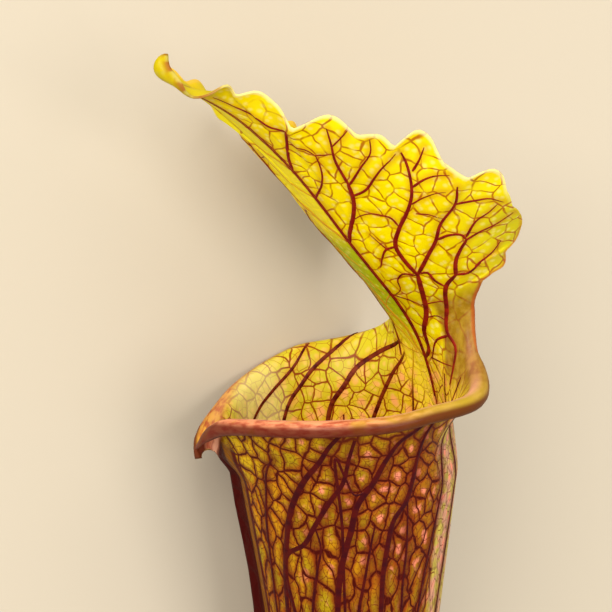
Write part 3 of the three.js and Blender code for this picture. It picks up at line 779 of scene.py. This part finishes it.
# The veins stand a little proud of both faces of the wall. They are strands of the leaf's own
# tissue, dark red in the lid and maroon in the tube, and thin out towards the margins.
# A vein is its half-widths at both ends and its places, across and along the leaf, in mm.
NEAR_LID_VEINS = (
    (0.3, 0.12, ((0.3, 12), (0.3, 30), (0.3, 55), (0.3, 90), (0.3, 120), (0.3, 134))),
    (0.5, 0.5, ((0.5, 26), (2.5, 28), (3.5, 34.5), (6.5, 39.5), (8.5, 44.5), (10.5, 49.5),
                (11.5, 52))),
    (0.5, 0.22, ((11.5, 52), (11, 57), (11.5, 62.5), (15.5, 67.5), (20.5, 72), (24.5, 76.5),
                 (27.5, 82.5), (28.5, 86), (29, 88.5))),
    (0.42, 0.22, ((11.5, 52), (17, 56.5), (22, 60.5), (25.5, 64.5), (32.5, 69.5), (36.5, 75))),
    (0.3, 0.12, ((11.5, 62.5), (9, 62.5), (5.5, 59.5), (3.5, 57))),
    (0.24, 0.1, ((16, 68.5), (15.5, 72), (12.5, 74.5), (9.5, 75), (6, 74))),
    (0.2, 0.08, ((9, 62), (8, 66), (7.5, 68.5))),
    (0.25, 0.1, ((11, 52), (8, 53.5), (5.5, 52), (4, 48.5), (1.5, 47))),
    (0.28, 0.12, ((28.5, 82.5), (31.5, 84.5), (34.5, 87))),
    (0.28, 0.1, ((26, 78.5), (30, 79.5), (33.5, 79.5), (36.5, 78.5))),
    (0.2, 0.08, ((23, 74), (27, 75), (31.5, 75), (33, 74.5))),
    (0.2, 0.08, ((22.5, 71), (25.5, 69.5), (27.5, 66.5))),
    (0.3, 0.1, ((32.5, 69.5), (37.5, 67.5), (40.5, 66), (42.5, 62.5))),
    (0.32, 0.25, ((22.5, 60.5), (26, 60.5), (28.5, 59), (28.5, 57))),
    (0.3, 0.45, ((13, 22.5), (13.5, 27), (13.5, 31), (11, 34), (12.5, 40), (16, 46), (20, 48))),
    (0.42, 0.3, ((20, 48), (22.5, 52), (25.5, 55), (28.5, 57))),
    (0.28, 0.12, ((29, 58), (34.5, 61.5), (38, 62), (41, 63))),
    (0.28, 0.14, ((28, 57), (32.5, 57.5), (36.5, 57), (42, 57))),
    (0.34, 0.14, ((20, 48), (22.5, 47), (27, 48), (31, 48.5), (34.5, 50))),
    (0.3, 0.25, ((12.5, 52.2), (14, 52), (14.5, 48.5), (15.5, 46))),
    (0.3, 0.16, ((11, 33.5), (7.5, 32.5), (3.5, 26.5))),
    (0.2, 0.1, ((3, 26.5), (8, 26.5), (13.5, 27))),
    (0.2, 0.1, ((6.5, 42.5), (10.5, 42.5), (13.5, 42))),
    (0.18, 0.1, ((5.5, 38.5), (9.5, 38.5), (11.5, 36.5))),
    (0.2, 0.12, ((0.5, 47), (4.5, 44.5), (6.5, 42.5))),
    (0.4, 0.42, ((0.5, 67), (2, 69.5), (4.5, 72.5), (10.5, 81), (12, 85.5))),
    (0.38, 0.15, ((12, 85.5), (13.5, 93.5), (15.5, 97.5), (17.5, 102))),
    (0.2, 0.1, ((15.5, 97), (19.5, 98.5), (22, 99.5))),
    (0.28, 0.12, ((12, 85), (18, 89), (23, 92), (25, 95))),
    (0.32, 0.12, ((10.5, 81.5), (14.5, 82), (19.5, 85), (22, 86.5), (28, 89))),
    (0.24, 0.14, ((0.5, 83), (1.5, 84), (4.5, 86.5), (7, 89.5), (9, 93.5), (10, 96.5))),
    (0.2, 0.1, ((10, 96.5), (12, 95.5), (13.5, 95))),
    (0.22, 0.12, ((6, 102), (9, 99.5), (10, 96.5))),
    (0.34, 0.26, ((0.5, 93.5), (1, 95), (4, 100), (8.5, 106))),
    (0.24, 0.12, ((8.5, 106), (6, 108), (5, 113.5), (4, 119), (3, 125))),
)
NEAR_TUBE_VEINS = (
    (0.62, 0.5, ((56.5, 22), (59.5, 18), (62, 13.5), (66, 8), (69.5, 2), (72, -4), (73.5, -10),
                 (75.5, -19), (77, -32))),
    (0.3, 0.24, ((51, 5.5), (54.5, 4), (56.5, 8.5), (58, 14))),
    (0.5, 0.3, ((54, 20), (55.5, 14.5), (57.5, 7), (60.5, 2.5), (65, -5), (68.5, -11),
                (73.5, -14.5))),
    (0.6, 0.6, ((37, 23), (40, 20.5), (43.5, 18.5), (47, 13.5), (50, 7.5), (54.5, 0.5), (56, -6),
                (58, -13), (59.5, -20), (60.5, -29))),
    (0.55, 0.45, ((36, 22), (37.5, 18), (38.5, 14.5), (40, 6), (41.5, 1), (45, -4), (46.5, -11),
                  (47.5, -18), (48, -30))),
    (0.3, 0.4, ((27, 22), (28, 10.5), (29.5, -1), (31, -9), (33.5, -21), (35, -33))),
    (0.36, 0.36, ((74, 12), (76.5, 8), (78.5, 0.5), (80, -7), (81, -18), (82, -35))),
    (0.3, 0.3, ((65, -6), (64, -11), (65.5, -18), (68, -30))),
    (0.3, 0.36, ((50, -5), (51.5, -13), (52.5, -19), (54.5, -29))),
    (0.3, 0.34, ((41.5, 1), (41, -8), (41, -15), (41.5, -22), (41.5, -31))),
    (0.3, 0.3, ((18, 26), (19, 12), (20, -2), (22, -18), (24, -33))),
    (0.3, 0.3, ((9, 24), (9.5, 10), (10, -5), (11, -20), (12, -34))),
    (0.3, 0.3, ((1, 12), (1, 0), (1, -14), (1, -34))),
)
FAR_TUBE_VEINS = (
    (0.5, 0.5, ((11, 27), (14.5, 24.5), (20, 21.5), (25.5, 17.5), (29.5, 11), (33, 5.5), (35, -2),
                (37, -15), (38, -33))),
    (0.42, 0.4, ((28, 25.5), (31, 21), (33.5, 18.5), (36.5, 15.5), (40, 11.5), (44, 7.5),
                 (47.5, 1), (50, -9), (51, -32))),
    (0.4, 0.4, ((10, 24), (12, 21), (14.5, 18), (18, 12), (20, 7.5), (23, 0), (25, -12),
                (26, -33))),
    (0.34, 0.36, ((36.5, 22), (42, 15.5), (48, 11.5), (54, 8), (60, 3), (64, -6), (65, -32))),
    (0.22, 0.3, ((5, 27), (9, 15.5), (10, 8), (11, -4), (12, -33))),
    (0.3, 0.3, ((57, -4), (58, -14), (58, -33))), (0.3, 0.3, ((70, 6), (71, -8), (71, -33))),
    (0.26, 0.26, ((42, 2), (43, -12), (44, -33))), (0.26, 0.26, ((30, 3), (31, -12), (32, -33))),
)
# a strand across and up, as shares of its half-width and its rise
VEIN_SECTION = ((-1, -0.1), (-0.55, 0.7), (0, 1), (0.55, 0.7), (1, -0.1))
VEIN_PITCH = 0.9
VEIN_RISE = 0.34
HIGHEST_RISE = 0.16
VEIN_SINK = 0.12
VEIN_END = 0.65
VEIN_TAPER = 5
TUBE_THINNING = 0.6
# the strands are wider than the tables say by these, to read like the photograph's
LID_SWELL = 1.8
TUBE_SWELL = 1.7
# the veins run to the foot outside, and inside to where the eye no longer reaches
BASE_LENGTH = BASE_Z - THROAT_Z
INNER_END = -110
TUBE_SWAY = 0.9
TUBE_HOP = (16, 26)
SHORTEST_HOP = 12
# the far half of the hood: narrower, each vein moved along by up to FAR_SHIFT
FAR_WIDTH = 0.9
FAR_SHIFT = 0.8
FAR_SHIFT_REACH = 6
FAR_LOWEST = 14
# added to a point's share across its strand where the strand is on the inner face
INNER_MARK = 2
random = np.random.default_rng(7)


def spline(points, pitch):
    """Places at an even pitch on a smooth line through the given ones."""
    line = with_length(points, 0, 1)
    count = max(3, int(line[-1, 0] / pitch) + 1)
    return np.moveaxis(along(line, np.linspace(0, line[-1, 0], count)), 0, -1)


def down_to_base(vein, to):
    """The vein carried on down the tube with a slight sway."""
    width, end_width, points = vein
    points = list(points)
    while points[-1][1] > to + SHORTEST_HOP:
        across, length = points[-1]
        sway = random.uniform(-TUBE_SWAY, TUBE_SWAY)
        points.append((across + sway, max(to, length - random.uniform(*TUBE_HOP))))
    return width, end_width, tuple(points)


def mirrored_lid(veins):
    """The far half's veins: like the near half's, drawn a little otherwise."""
    drawn = []
    for width, end_width, points in veins:
        shift = random.uniform(-FAR_SHIFT, FAR_SHIFT)
        moved = tuple(
            (across * FAR_WIDTH, max(FAR_LOWEST, length + shift * min(1, across / FAR_SHIFT_REACH)))
            for across, length in points
        )
        drawn.append((width, end_width, moved))
    return tuple(drawn)


def skins_of(sheet):
    """Both faces of one half as grids: places, points and the ways that they face. The outer
    one goes on to the rim of the cut."""
    rows, places, _, ways = sheet
    inner = slice(WELL_ROWS, WELL_ROWS + HALF_ROWS)
    outer = slice(WELL_ROWS + HALF_ROWS, WELL_ROWS + 2 * HALF_ROWS + len(CUT_HEIGHTS) + 1)
    return [(places[part], rows[part], ways[part]) for part in (inner, outer)]


def lookup(face):
    """Finds points of a face from their places on the leaf."""
    place, grid, ways = face
    high, wide = grid.shape[:2]
    flat = np.abs(place[..., 0]), place[..., 1]
    flat = np.stack([flat[0], flat[1], 0 * flat[0]], -1).reshape(-1, 3)
    i = (np.arange(high - 1)[:, None] * wide + np.arange(wide - 1)[None, :]).ravel()
    corners = np.concatenate([
        np.stack([i, i + 1, i + wide + 1], -1), np.stack([i, i + wide + 1, i + wide], -1)
    ])
    tree = BVHTree.FromPolygons(flat.tolist(), corners.tolist())
    grid, ways = grid.reshape(-1, 3), ways.reshape(-1, 3)

    def at(places):
        found = [tree.find_nearest((b, s, 0)) for b, s in places]
        index = np.array([hit[2] for hit in found])
        spot = np.array([hit[0][:2] for hit in found])
        a, b, c = (flat[corners[index][:, k], :2] for k in range(3))
        e, f, g = b - a, c - a, spot - a
        size = e[:, 0] * f[:, 1] - e[:, 1] * f[:, 0]
        size = np.where(np.abs(size) < 1e-12, 1e-12, size)
        v = ((g[:, 0] * f[:, 1] - g[:, 1] * f[:, 0]) / size)[:, None]
        w = ((e[:, 0] * g[:, 1] - e[:, 1] * g[:, 0]) / size)[:, None]
        v, w = np.clip(v, 0, 1), np.clip(w, 0, 1)
        points = [grid[corners[index][:, k]] for k in range(3)]
        normals = [ways[corners[index][:, k]] for k in range(3)]
        return (
            points[0] * (1 - v - w) + points[1] * v + points[2] * w,
            unit(normals[0] * (1 - v - w) + normals[1] * v + normals[2] * w + 1e-9),
        )

    return at


def strand(bm, at, vein, side, inner):
    """One vein on one face: a low strand with its edges sunk in the skin."""
    width, end_width, points = vein
    line = spline(points, VEIN_PITCH)
    count = len(line)
    share = np.linspace(0, 1, count)
    half = width + (end_width - width) * share
    half = half * np.minimum(1, VEIN_END + VEIN_TAPER * np.minimum(share, 1 - share))
    tube_size = along(TUBE, np.minimum(line[:, 1] + THROAT_Z, THROAT_Z))[0] / THROAT_RADIUS
    centre, normal = at(line)
    run = unit(np.gradient(centre, axis=0))
    beside = unit(np.cross(normal, run))
    half = half * np.where(line[:, 1] < 0, tube_size ** TUBE_THINNING, 1)
    made = bmesh.ops.create_grid(
        bm, x_segments=len(VEIN_SECTION) - 1, y_segments=count - 1, size=1
    )["verts"]
    rows = []
    for over, up in VEIN_SECTION:
        rise = np.where(up > 0, up * np.minimum(VEIN_RISE * half, HIGHEST_RISE), -VEIN_SINK)
        rows.append(centre + beside * (over * half)[:, None] + normal * rise[:, None])
    laid = laid_down(np.stack(rows, 1)).reshape(-1, 3)
    for vert, spot in zip(made, laid):
        vert.co = spot
    tags = np.stack([
        np.repeat(line[:, 0] * side, len(VEIN_SECTION)), np.repeat(line[:, 1], len(VEIN_SECTION)),
        np.tile([abs(over) for over, _ in VEIN_SECTION], count) + INNER_MARK * inner,
    ], -1)
    return tags


def veins_on(name, half_sheets, lists, swell, material):
    """All the veins of one kind as one piece. lists has the near and far veins for each face."""
    bm = bmesh.new()
    tags = []
    for side, sheet, (inner_list, outer_list) in zip((1, -1), half_sheets, lists):
        for inner, face, drawn in zip((1, 0), skins_of(sheet), (inner_list, outer_list)):
            at = lookup(face)
            for width, end_width, points in drawn:
                vein = (width * swell, end_width * swell, points)
                tags.append(strand(bm, at, vein, side, inner))
    mesh = bpy.data.meshes.new(name)
    bm.to_mesh(mesh)
    bm.free()
    vein_places = mesh.attributes.new("vein_place", "FLOAT_VECTOR", "POINT")
    vein_places.data.foreach_set("vector", np.concatenate(tags).ravel())
    mesh.materials.append(material)
    for polygon in mesh.polygons:
        polygon.use_smooth = True
    piece = bpy.data.objects.new(name, mesh)
    bpy.context.collection.objects.link(piece)
    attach(piece, "root")


# Vein tissue is as waxy as the skin and hardly lets light through: a dark line with a soft gloss
VEIN_GLOW = 0.15


def vein_tissue(name, middle, border, inside, low):
    """The tissue of a strand: its middle and borders, its middle on the inner face, and the
    same low down on the hood."""
    material, tree = clear_material(name)
    place = add(tree, "ShaderNodeAttribute", attribute_name="vein_place").outputs["Vector"]
    w = {}
    w["across"], w["length"], w["mark"] = add(tree, "ShaderNodeSeparateXYZ", {0: place}).outputs
    w["inner"] = share(tree, w, ("mark", 1.4, 1.6))
    w["from_middle"] = add(
        tree, "ShaderNodeMath", {0: w["inner"], 1: -INNER_MARK, 2: w["mark"]},
        operation="MULTIPLY_ADD",
    ).outputs[0]
    flat = add(tree, "ShaderNodeCombineXYZ", {0: w["across"], 1: w["length"]}).outputs[0]
    w["mottle"] = add(
        tree, "ShaderNodeTexNoise", {"Vector": flat, "Scale": 0.4, "Detail": 3}
    ).outputs["Fac"]
    colour = paint(tree, w, middle, inside, "inner")
    colour = paint(tree, w, colour, low, "inner", ("length", 66, 46))
    colour = paint(tree, w, colour, border, ("mottle", 0.35, 0.65))
    colour = paint(tree, w, colour, border, ("from_middle", 0.4, 1))
    # faint beside the midrib on the far half
    colour = paint(
        tree, w, colour, "DCA818",
        ("across", -0.3, -1.2), ("across", -12, -8), ("length", 10, 20), most=0.8,
    )
    body = add(
        tree, "ShaderNodeBsdfPrincipled",
        {"Base Color": colour, "Roughness": 0.45, "Specular IOR Level": 0.1},
    ).outputs[0]
    glow = add(tree, "ShaderNodeBsdfTranslucent", {"Color": colour}).outputs[0]
    mixed = add(tree, "ShaderNodeMixShader", {0: VEIN_GLOW, 1: body, 2: glow}).outputs[0]
    add(tree, "ShaderNodeOutputMaterial", {"Surface": mixed})
    return material


far_lid = mirrored_lid(NEAR_LID_VEINS)
tube_veins = []
for tube_list in (NEAR_TUBE_VEINS, FAR_TUBE_VEINS):
    outer_list = tuple(down_to_base(vein, BASE_LENGTH) for vein in tube_list)
    inner_list = tuple(down_to_base(vein, INNER_END) for vein in tube_list)
    tube_veins.append((inner_list, outer_list))
veins_on(
    "lid_veins", sheets, ((NEAR_LID_VEINS, NEAR_LID_VEINS), (far_lid, far_lid)), LID_SWELL,
    vein_tissue("lid_vein_tissue", "700C0A", "8A1E0A", "700C0A", "5A0E0A"),
)
veins_on(
    "tube_veins", sheets, tube_veins, TUBE_SWELL,
    vein_tissue("tube_vein_tissue", "380208", "4C0804", "7C2C0C", "7C2C0C"),
)

# The skin is flushed beside the veins, so each of its points keeps how far the next vein is
samples = np.concatenate([
    spline(points, VEIN_PITCH) * (side, 1)
    for side, drawn in ((1, NEAR_LID_VEINS + tube_veins[0][1]), (-1, far_lid + tube_veins[1][1]))
    for _, _, points in drawn
])
near_samples = KDTree(len(samples))
for k, (across, length) in enumerate(samples):
    near_samples.insert((across, length, 0), k)
near_samples.balance()
places = np.empty(len(leaf_mesh.vertices) * 3)
leaf_mesh.attributes["leaf_place"].data.foreach_get("vector", places)
distances = [
    near_samples.find((across, length, 0))[2] for across, length, _ in places.reshape(-1, 3)
]
vein_distance = leaf_mesh.attributes.new("vein_distance", "FLOAT", "POINT")
vein_distance.data.foreach_set("value", distances)


# The floor: one plain sheet of pale uncoated paper, far wider than the picture. The leaf only
# lies on it. Paper without a gloss gives an even pale tone and a soft shadow.
FLOOR_REACH = 3
floor_mesh = bpy.data.meshes.new("floor")
work = bmesh.new()
bmesh.ops.create_grid(work, x_segments=1, y_segments=1, size=FLOOR_REACH)
work.to_mesh(floor_mesh)
work.free()
floor = bpy.data.objects.new("floor", floor_mesh)
bpy.context.collection.objects.link(floor)
floor_paper, tree = clear_material("matt_paper")
paper = add(
    tree, "ShaderNodeBsdfPrincipled", {"Base Color": linear("B8AC97"), "Roughness": 0.9}
).outputs[0]
add(tree, "ShaderNodeOutputMaterial", {"Surface": paper})
floor_mesh.materials.append(floor_paper)

# The camera looks down on the lying leaf from where the photograph looks at the standing one.
# Distances are in mm, and the shift is from the leaf's own origin to the right and up.
CAMERA_TURN = np.radians(9)
CAMERA_RISE = np.radians(20)
CAMERA_DISTANCE = 900.0
VIEW_SHIFT = (-8.75, 21.5)
FIELD_WIDTH = 153.0
SENSOR = 36.0
HIGH_UP = np.array((0, 200.0, 0))


def way_laid(v):
    """Where a way of the standing leaf points when it lies, measured high above the floor,
    where nothing is pressed flat."""
    return Vector(laid_down(HIGH_UP + v) - laid_down(HIGH_UP)).normalized()


ct, st = np.cos(CAMERA_TURN), np.sin(CAMERA_TURN)
cr, sr = np.cos(CAMERA_RISE), np.sin(CAMERA_RISE)
towards = way_laid((cr * st, cr * ct, sr))
right = way_laid((-ct, st, 0))
above = way_laid((-sr * st, -sr * ct, cr))
middle = Vector(LIE_SHIFT) + right * VIEW_SHIFT[0] + above * VIEW_SHIFT[1]
camera_data = bpy.data.cameras.new("camera")
camera_data.sensor_width = SENSOR
camera_data.lens = SENSOR * CAMERA_DISTANCE / FIELD_WIDTH
camera = bpy.data.objects.new("camera", camera_data)
bpy.context.collection.objects.link(camera)
turned = Matrix((right, above, towards)).transposed().to_4x4()
turned.translation = (middle + towards * CAMERA_DISTANCE) * 0.001
camera.matrix_world = turned
camera_data.clip_start, camera_data.clip_end = 0.01, 20
bpy.context.scene.camera = camera


# Soft studio light: a large key lamp beside the camera, a weak lamp from behind that shines
# through the lid, a weak one from the other side, and an even pale surround
def lamp(name, ahead, aside, up, size, power, colour):
    """A square lamp at a place in metres, told by the camera's own directions."""
    data = bpy.data.lights.new(name, "AREA")
    data.shape, data.size, data.energy, data.color = "SQUARE", size, power, colour
    light = bpy.data.objects.new(name, data)
    bpy.context.collection.objects.link(light)
    way = towards * ahead + right * aside + above * up
    light.location = middle * 0.001 + way
    light.rotation_mode = "QUATERNION"
    light.rotation_quaternion = way.to_track_quat("Z", "Y")


lamp("key", 3.2, -1.2, 1.05, 2.5, 150, (1, 0.98, 0.95))
lamp("back", 1.1, 1.4, 1.9, 2.6, 26, (1, 0.98, 0.94))
lamp("fill", 2.7, 2.2, -0.3, 2.1, 66, (0.97, 0.98, 1))
world = bpy.data.worlds.new("surround")
world.use_nodes = True
surround = world.node_tree.nodes["Background"]
surround.inputs["Color"].default_value = (1.0, 0.97, 0.92, 1)
surround.inputs["Strength"].default_value = 0.74
bpy.context.scene.world = world
bpy.context.scene.view_settings.view_transform = "Standard"
